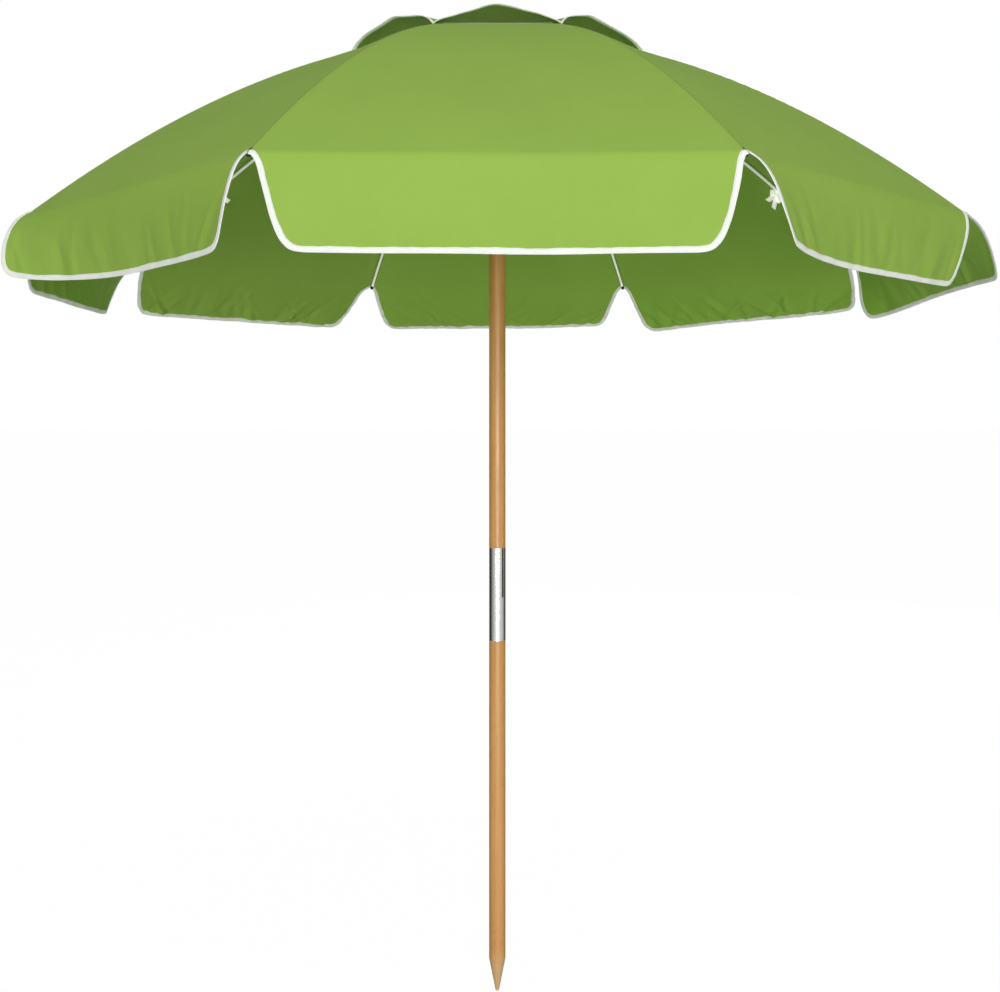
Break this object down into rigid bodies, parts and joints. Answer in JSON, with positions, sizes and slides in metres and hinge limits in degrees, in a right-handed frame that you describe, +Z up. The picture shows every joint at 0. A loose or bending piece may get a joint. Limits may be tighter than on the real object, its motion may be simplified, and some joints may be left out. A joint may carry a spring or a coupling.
{
  "type": "beach umbrella",
  "caption": "Folding beach umbrella: pointed two-piece wooden pole with steel sleeve, rib and runner frame, green canopy with raised vent and notched, bound valance.",
  "frame": {"origin": "the pole's tip, on the pole's axis", "axes": "+Z up along the pole to the finial; the front of the umbrella faces -Y"},
  "size_m": [2.0018, 1.984, 2.284],
  "materials": {
    "wood": "clear satin varnish",
    "sleeve_steel": "bright plated, polished",
    "bright_steel": "bright",
    "fitting_plastic": "moulded",
    "dark_plastic": "moulded",
    "rib_fibreglass": "smooth rod, black end cap",
    "stretcher_steel": "white enamel",
    "canopy_cloth": "plain woven cloth"
  },
  "bodies": {
    "lower_half": {"lower_pole": "wood", "sleeve": "sleeve_steel", "sleeve_nails": "bright_steel"},
    "upper_half": {"upper_pole": "wood", "sleeve_pin": "bright_steel", "crown_hub": "fitting_plastic", "crown_ring": "bright_steel", "crown_washer": "bright_steel", "finial": "wood", "finial_stud": "bright_steel"},
    "runner": {"runner": "fitting_plastic"},
    "runner_screw": {"runner_screw": "dark_plastic"},
    "rib_inner_1": {"rib_inner_1": "rib_fibreglass"},
    "rib_outer_1": {"rib_outer_1": "rib_fibreglass"},
    "stretcher_1": {"stretcher_1": "stretcher_steel"},
    "vent_panel_1": {"vent_panel_1": "canopy_cloth"},
    "gore_1": {"gore_1": "canopy_cloth"},
    "valance_1": {"valance_1": "canopy_cloth"},
    "rib_inner_2": {"rib_inner_2": "rib_fibreglass"},
    "rib_outer_2": {"rib_outer_2": "rib_fibreglass"},
    "stretcher_2": {"stretcher_2": "stretcher_steel"},
    "vent_panel_2": {"vent_panel_2": "canopy_cloth"},
    "gore_2": {"gore_2": "canopy_cloth"},
    "valance_2": {"valance_2": "canopy_cloth"},
    "rib_inner_3": {"rib_inner_3": "rib_fibreglass"},
    "rib_outer_3": {"rib_outer_3": "rib_fibreglass"},
    "stretcher_3": {"stretcher_3": "stretcher_steel"},
    "vent_panel_3": {"vent_panel_3": "canopy_cloth"},
    "gore_3": {"gore_3": "canopy_cloth"},
    "valance_3": {"valance_3": "canopy_cloth"},
    "rib_inner_4": {"rib_inner_4": "rib_fibreglass"},
    "rib_outer_4": {"rib_outer_4": "rib_fibreglass"},
    "stretcher_4": {"stretcher_4": "stretcher_steel"},
    "vent_panel_4": {"vent_panel_4": "canopy_cloth"},
    "gore_4": {"gore_4": "canopy_cloth"},
    "valance_4": {"valance_4": "canopy_cloth"},
    "rib_inner_5": {"rib_inner_5": "rib_fibreglass"},
    "rib_outer_5": {"rib_outer_5": "rib_fibreglass"},
    "stretcher_5": {"stretcher_5": "stretcher_steel"},
    "vent_panel_5": {"vent_panel_5": "canopy_cloth"},
    "gore_5": {"gore_5": "canopy_cloth"},
    "valance_5": {"valance_5": "canopy_cloth"},
    "rib_inner_6": {"rib_inner_6": "rib_fibreglass"},
    "rib_outer_6": {"rib_outer_6": "rib_fibreglass"},
    "stretcher_6": {"stretcher_6": "stretcher_steel"},
    "vent_panel_6": {"vent_panel_6": "canopy_cloth"},
    "gore_6": {"gore_6": "canopy_cloth"},
    "valance_6": {"valance_6": "canopy_cloth"},
    "rib_inner_7": {"rib_inner_7": "rib_fibreglass"},
    "rib_outer_7": {"rib_outer_7": "rib_fibreglass"},
    "stretcher_7": {"stretcher_7": "stretcher_steel"},
    "vent_panel_7": {"vent_panel_7": "canopy_cloth"},
    "gore_7": {"gore_7": "canopy_cloth"},
    "valance_7": {"valance_7": "canopy_cloth"},
    "rib_inner_8": {"rib_inner_8": "rib_fibreglass"},
    "rib_outer_8": {"rib_outer_8": "rib_fibreglass"},
    "stretcher_8": {"stretcher_8": "stretcher_steel"},
    "vent_panel_8": {"vent_panel_8": "canopy_cloth"},
    "gore_8": {"gore_8": "canopy_cloth"},
    "valance_8": {"valance_8": "canopy_cloth"}
  },
  "joints": [
    {"name": "pole_pull", "type": "slide", "parent": "lower_half", "child": "upper_half", "axis": [0, 0, 1], "range_m": [0, 0.12]},
    {"name": "runner_slide", "type": "slide", "parent": "upper_half", "child": "runner", "axis": [0, 0, -1], "range_m": [0, 0.36848]},
    {"name": "runner_screw_turn", "type": "hinge", "parent": "runner", "child": "runner_screw", "pos_m": [0, 0.03, 1.756], "axis": [0, 1, 0], "range_deg": [0, 180]},
    {"name": "rib_fold_1", "type": "hinge", "parent": "upper_half", "child": "rib_inner_1", "pos_m": [0.02772, 0.01148, 2.2097], "axis": [-0.3827, 0.9239, 0], "range_deg": [0, 72]},
    {"name": "rib_flex_1", "type": "hinge", "parent": "rib_inner_1", "child": "rib_outer_1", "pos_m": [0.32336, 0.13394, 2.1374], "axis": [-0.3827, 0.9239, 0], "range_deg": [-20, 0]},
    {"name": "stretcher_swing_1", "type": "hinge", "parent": "rib_inner_1", "child": "stretcher_1", "pos_m": [0.31942, 0.13231, 2.12511], "axis": [-0.3827, 0.9239, 0], "range_deg": [-113.66, 0]},
    {"name": "vent_fold_1", "type": "hinge", "parent": "upper_half", "child": "vent_panel_1", "pos_m": [0.02772, 0, 2.2097], "axis": [0, 1, 0], "range_deg": [0, 72], "deforming": ["vent_panel_1"]},
    {"name": "gore_fold_1", "type": "hinge", "parent": "upper_half", "child": "gore_1", "pos_m": [-0.10675, 0, 2.26244], "axis": [0, 1, 0], "range_deg": [0, 51.2], "deforming": ["gore_1"]},
    {"name": "valance_fold_1", "type": "hinge", "parent": "gore_1", "child": "valance_1", "pos_m": [0.93774, 0, 1.746], "axis": [0, 1, 0], "range_deg": [-30.2, 0], "deforming": ["valance_1"]},
    {"name": "rib_fold_2", "type": "hinge", "parent": "upper_half", "child": "rib_inner_2", "pos_m": [0.01148, 0.02772, 2.2097], "axis": [-0.9239, 0.3827, 0], "range_deg": [0, 72]},
    {"name": "rib_flex_2", "type": "hinge", "parent": "rib_inner_2", "child": "rib_outer_2", "pos_m": [0.13394, 0.32336, 2.1374], "axis": [-0.9239, 0.3827, 0], "range_deg": [-20, 0]},
    {"name": "stretcher_swing_2", "type": "hinge", "parent": "rib_inner_2", "child": "stretcher_2", "pos_m": [0.13231, 0.31942, 2.12511], "axis": [-0.9239, 0.3827, 0], "range_deg": [-113.66, 0]},
    {"name": "vent_fold_2", "type": "hinge", "parent": "upper_half", "child": "vent_panel_2", "pos_m": [0.0196, 0.0196, 2.2097], "axis": [-0.7071, 0.7071, 0], "range_deg": [0, 72], "deforming": ["vent_panel_2"]},
    {"name": "gore_fold_2", "type": "hinge", "parent": "upper_half", "child": "gore_2", "pos_m": [-0.07548, -0.07548, 2.26244], "axis": [-0.7071, 0.7071, 0], "range_deg": [0, 51.2], "deforming": ["gore_2"]},
    {"name": "valance_fold_2", "type": "hinge", "parent": "gore_2", "child": "valance_2", "pos_m": [0.66308, 0.66308, 1.746], "axis": [-0.7071, 0.7071, 0], "range_deg": [-22.2, 0], "deforming": ["valance_2"]},
    {"name": "rib_fold_3", "type": "hinge", "parent": "upper_half", "child": "rib_inner_3", "pos_m": [-0.01148, 0.02772, 2.2097], "axis": [-0.9239, -0.3827, 0], "range_deg": [0, 72]},
    {"name": "rib_flex_3", "type": "hinge", "parent": "rib_inner_3", "child": "rib_outer_3", "pos_m": [-0.13394, 0.32336, 2.1374], "axis": [-0.9239, -0.3827, 0], "range_deg": [-20, 0]},
    {"name": "stretcher_swing_3", "type": "hinge", "parent": "rib_inner_3", "child": "stretcher_3", "pos_m": [-0.13231, 0.31942, 2.12511], "axis": [-0.9239, -0.3827, 0], "range_deg": [-113.66, 0]},
    {"name": "vent_fold_3", "type": "hinge", "parent": "upper_half", "child": "vent_panel_3", "pos_m": [0, 0.02772, 2.2097], "axis": [-1, 0, 0], "range_deg": [0, 72], "deforming": ["vent_panel_3"]},
    {"name": "gore_fold_3", "type": "hinge", "parent": "upper_half", "child": "gore_3", "pos_m": [0, -0.10675, 2.26244], "axis": [-1, 0, 0], "range_deg": [0, 51.2], "deforming": ["gore_3"]},
    {"name": "valance_fold_3", "type": "hinge", "parent": "gore_3", "child": "valance_3", "pos_m": [0, 0.93774, 1.746], "axis": [-1, 0, 0], "range_deg": [-18.2, 0], "deforming": ["valance_3"]},
    {"name": "rib_fold_4", "type": "hinge", "parent": "upper_half", "child": "rib_inner_4", "pos_m": [-0.02772, 0.01148, 2.2097], "axis": [-0.3827, -0.9239, 0], "range_deg": [0, 72]},
    {"name": "rib_flex_4", "type": "hinge", "parent": "rib_inner_4", "child": "rib_outer_4", "pos_m": [-0.32336, 0.13394, 2.1374], "axis": [-0.3827, -0.9239, 0], "range_deg": [-20, 0]},
    {"name": "stretcher_swing_4", "type": "hinge", "parent": "rib_inner_4", "child": "stretcher_4", "pos_m": [-0.31942, 0.13231, 2.12511], "axis": [-0.3827, -0.9239, 0], "range_deg": [-113.66, 0]},
    {"name": "vent_fold_4", "type": "hinge", "parent": "upper_half", "child": "vent_panel_4", "pos_m": [-0.0196, 0.0196, 2.2097], "axis": [-0.7071, -0.7071, 0], "range_deg": [0, 72], "deforming": ["vent_panel_4"]},
    {"name": "gore_fold_4", "type": "hinge", "parent": "upper_half", "child": "gore_4", "pos_m": [0.07548, -0.07548, 2.26244], "axis": [-0.7071, -0.7071, 0], "range_deg": [0, 51.2], "deforming": ["gore_4"]},
    {"name": "valance_fold_4", "type": "hinge", "parent": "gore_4", "child": "valance_4", "pos_m": [-0.66308, 0.66308, 1.746], "axis": [-0.7071, -0.7071, 0], "range_deg": [-21.2, 0], "deforming": ["valance_4"]},
    {"name": "rib_fold_5", "type": "hinge", "parent": "upper_half", "child": "rib_inner_5", "pos_m": [-0.02772, -0.01148, 2.2097], "axis": [0.3827, -0.9239, 0], "range_deg": [0, 72]},
    {"name": "rib_flex_5", "type": "hinge", "parent": "rib_inner_5", "child": "rib_outer_5", "pos_m": [-0.32336, -0.13394, 2.1374], "axis": [0.3827, -0.9239, 0], "range_deg": [-20, 0]},
    {"name": "stretcher_swing_5", "type": "hinge", "parent": "rib_inner_5", "child": "stretcher_5", "pos_m": [-0.31942, -0.13231, 2.12511], "axis": [0.3827, -0.9239, 0], "range_deg": [-113.66, 0]},
    {"name": "vent_fold_5", "type": "hinge", "parent": "upper_half", "child": "vent_panel_5", "pos_m": [-0.02772, 0, 2.2097], "axis": [0, -1, 0], "range_deg": [0, 72], "deforming": ["vent_panel_5"]},
    {"name": "gore_fold_5", "type": "hinge", "parent": "upper_half", "child": "gore_5", "pos_m": [0.10675, 0, 2.26244], "axis": [0, -1, 0], "range_deg": [0, 51.2], "deforming": ["gore_5"]},
    {"name": "valance_fold_5", "type": "hinge", "parent": "gore_5", "child": "valance_5", "pos_m": [-0.93774, 0, 1.746], "axis": [0, -1, 0], "range_deg": [-40.2, 0], "deforming": ["valance_5"]},
    {"name": "rib_fold_6", "type": "hinge", "parent": "upper_half", "child": "rib_inner_6", "pos_m": [-0.01148, -0.02772, 2.2097], "axis": [0.9239, -0.3827, 0], "range_deg": [0, 72]},
    {"name": "rib_flex_6", "type": "hinge", "parent": "rib_inner_6", "child": "rib_outer_6", "pos_m": [-0.13394, -0.32336, 2.1374], "axis": [0.9239, -0.3827, 0], "range_deg": [-20, 0]},
    {"name": "stretcher_swing_6", "type": "hinge", "parent": "rib_inner_6", "child": "stretcher_6", "pos_m": [-0.13231, -0.31942, 2.12511], "axis": [0.9239, -0.3827, 0], "range_deg": [-113.66, 0]},
    {"name": "vent_fold_6", "type": "hinge", "parent": "upper_half", "child": "vent_panel_6", "pos_m": [-0.0196, -0.0196, 2.2097], "axis": [0.7071, -0.7071, 0], "range_deg": [0, 72], "deforming": ["vent_panel_6"]},
    {"name": "gore_fold_6", "type": "hinge", "parent": "upper_half", "child": "gore_6", "pos_m": [0.07548, 0.07548, 2.26244], "axis": [0.7071, -0.7071, 0], "range_deg": [0, 51.2], "deforming": ["gore_6"]},
    {"name": "valance_fold_6", "type": "hinge", "parent": "gore_6", "child": "valance_6", "pos_m": [-0.66308, -0.66308, 1.746], "axis": [0.7071, -0.7071, 0], "range_deg": [-45.2, 0], "deforming": ["valance_6"]},
    {"name": "rib_fold_7", "type": "hinge", "parent": "upper_half", "child": "rib_inner_7", "pos_m": [0.01148, -0.02772, 2.2097], "axis": [0.9239, 0.3827, 0], "range_deg": [0, 72]},
    {"name": "rib_flex_7", "type": "hinge", "parent": "rib_inner_7", "child": "rib_outer_7", "pos_m": [0.13394, -0.32336, 2.1374], "axis": [0.9239, 0.3827, 0], "range_deg": [-20, 0]},
    {"name": "stretcher_swing_7", "type": "hinge", "parent": "rib_inner_7", "child": "stretcher_7", "pos_m": [0.13231, -0.31942, 2.12511], "axis": [0.9239, 0.3827, 0], "range_deg": [-113.66, 0]},
    {"name": "vent_fold_7", "type": "hinge", "parent": "upper_half", "child": "vent_panel_7", "pos_m": [0, -0.02772, 2.2097], "axis": [1, 0, 0], "range_deg": [0, 72], "deforming": ["vent_panel_7"]},
    {"name": "gore_fold_7", "type": "hinge", "parent": "upper_half", "child": "gore_7", "pos_m": [0, 0.10675, 2.26244], "axis": [1, 0, 0], "range_deg": [0, 51.2], "deforming": ["gore_7"]},
    {"name": "valance_fold_7", "type": "hinge", "parent": "gore_7", "child": "valance_7", "pos_m": [0, -0.93774, 1.746], "axis": [1, 0, 0], "range_deg": [-57.2, 0], "deforming": ["valance_7"]},
    {"name": "rib_fold_8", "type": "hinge", "parent": "upper_half", "child": "rib_inner_8", "pos_m": [0.02772, -0.01148, 2.2097], "axis": [0.3827, 0.9239, 0], "range_deg": [0, 72]},
    {"name": "rib_flex_8", "type": "hinge", "parent": "rib_inner_8", "child": "rib_outer_8", "pos_m": [0.32336, -0.13394, 2.1374], "axis": [0.3827, 0.9239, 0], "range_deg": [-20, 0]},
    {"name": "stretcher_swing_8", "type": "hinge", "parent": "rib_inner_8", "child": "stretcher_8", "pos_m": [0.31942, -0.13231, 2.12511], "axis": [0.3827, 0.9239, 0], "range_deg": [-113.66, 0]},
    {"name": "vent_fold_8", "type": "hinge", "parent": "upper_half", "child": "vent_panel_8", "pos_m": [0.0196, -0.0196, 2.2097], "axis": [0.7071, 0.7071, 0], "range_deg": [0, 72], "deforming": ["vent_panel_8"]},
    {"name": "gore_fold_8", "type": "hinge", "parent": "upper_half", "child": "gore_8", "pos_m": [-0.07548, 0.07548, 2.26244], "axis": [0.7071, 0.7071, 0], "range_deg": [0, 51.2], "deforming": ["gore_8"]},
    {"name": "valance_fold_8", "type": "hinge", "parent": "gore_8", "child": "valance_8", "pos_m": [0.66308, -0.66308, 1.746], "axis": [0.7071, 0.7071, 0], "range_deg": [-48.2, 0], "deforming": ["valance_8"]}
  ],
  "couplings": [
    {"joint": "rib_fold_1", "follows": "runner_slide", "rad_per_m": 3.4103},
    {"joint": "rib_flex_1", "follows": "runner_slide", "rad_per_m": -0.94731},
    {"joint": "stretcher_swing_1", "follows": "runner_slide", "rad_per_m": -5.3836},
    {"joint": "vent_fold_1", "follows": "runner_slide", "rad_per_m": 3.4103},
    {"joint": "gore_fold_1", "follows": "runner_slide", "rad_per_m": 2.4251},
    {"joint": "valance_fold_1", "follows": "runner_slide", "rad_per_m": -1.4304},
    {"joint": "rib_fold_2", "follows": "runner_slide", "rad_per_m": 3.4103},
    {"joint": "rib_flex_2", "follows": "runner_slide", "rad_per_m": -0.94731},
    {"joint": "stretcher_swing_2", "follows": "runner_slide", "rad_per_m": -5.3836},
    {"joint": "vent_fold_2", "follows": "runner_slide", "rad_per_m": 3.4103},
    {"joint": "gore_fold_2", "follows": "runner_slide", "rad_per_m": 2.4251},
    {"joint": "valance_fold_2", "follows": "runner_slide", "rad_per_m": -1.0515},
    {"joint": "rib_fold_3", "follows": "runner_slide", "rad_per_m": 3.4103},
    {"joint": "rib_flex_3", "follows": "runner_slide", "rad_per_m": -0.94731},
    {"joint": "stretcher_swing_3", "follows": "runner_slide", "rad_per_m": -5.3836},
    {"joint": "vent_fold_3", "follows": "runner_slide", "rad_per_m": 3.4103},
    {"joint": "gore_fold_3", "follows": "runner_slide", "rad_per_m": 2.4251},
    {"joint": "valance_fold_3", "follows": "runner_slide", "rad_per_m": -0.86205},
    {"joint": "rib_fold_4", "follows": "runner_slide", "rad_per_m": 3.4103},
    {"joint": "rib_flex_4", "follows": "runner_slide", "rad_per_m": -0.94731},
    {"joint": "stretcher_swing_4", "follows": "runner_slide", "rad_per_m": -5.3836},
    {"joint": "vent_fold_4", "follows": "runner_slide", "rad_per_m": 3.4103},
    {"joint": "gore_fold_4", "follows": "runner_slide", "rad_per_m": 2.4251},
    {"joint": "valance_fold_4", "follows": "runner_slide", "rad_per_m": -1.0042},
    {"joint": "rib_fold_5", "follows": "runner_slide", "rad_per_m": 3.4103},
    {"joint": "rib_flex_5", "follows": "runner_slide", "rad_per_m": -0.94731},
    {"joint": "stretcher_swing_5", "follows": "runner_slide", "rad_per_m": -5.3836},
    {"joint": "vent_fold_5", "follows": "runner_slide", "rad_per_m": 3.4103},
    {"joint": "gore_fold_5", "follows": "runner_slide", "rad_per_m": 2.4251},
    {"joint": "valance_fold_5", "follows": "runner_slide", "rad_per_m": -1.9041},
    {"joint": "rib_fold_6", "follows": "runner_slide", "rad_per_m": 3.4103},
    {"joint": "rib_flex_6", "follows": "runner_slide", "rad_per_m": -0.94731},
    {"joint": "stretcher_swing_6", "follows": "runner_slide", "rad_per_m": -5.3836},
    {"joint": "vent_fold_6", "follows": "runner_slide", "rad_per_m": 3.4103},
    {"joint": "gore_fold_6", "follows": "runner_slide", "rad_per_m": 2.4251},
    {"joint": "valance_fold_6", "follows": "runner_slide", "rad_per_m": -2.1409},
    {"joint": "rib_fold_7", "follows": "runner_slide", "rad_per_m": 3.4103},
    {"joint": "rib_flex_7", "follows": "runner_slide", "rad_per_m": -0.94731},
    {"joint": "stretcher_swing_7", "follows": "runner_slide", "rad_per_m": -5.3836},
    {"joint": "vent_fold_7", "follows": "runner_slide", "rad_per_m": 3.4103},
    {"joint": "gore_fold_7", "follows": "runner_slide", "rad_per_m": 2.4251},
    {"joint": "valance_fold_7", "follows": "runner_slide", "rad_per_m": -2.7093},
    {"joint": "rib_fold_8", "follows": "runner_slide", "rad_per_m": 3.4103},
    {"joint": "rib_flex_8", "follows": "runner_slide", "rad_per_m": -0.94731},
    {"joint": "stretcher_swing_8", "follows": "runner_slide", "rad_per_m": -5.3836},
    {"joint": "vent_fold_8", "follows": "runner_slide", "rad_per_m": 3.4103},
    {"joint": "gore_fold_8", "follows": "runner_slide", "rad_per_m": 2.4251},
    {"joint": "valance_fold_8", "follows": "runner_slide", "rad_per_m": -2.283}
  ]
}
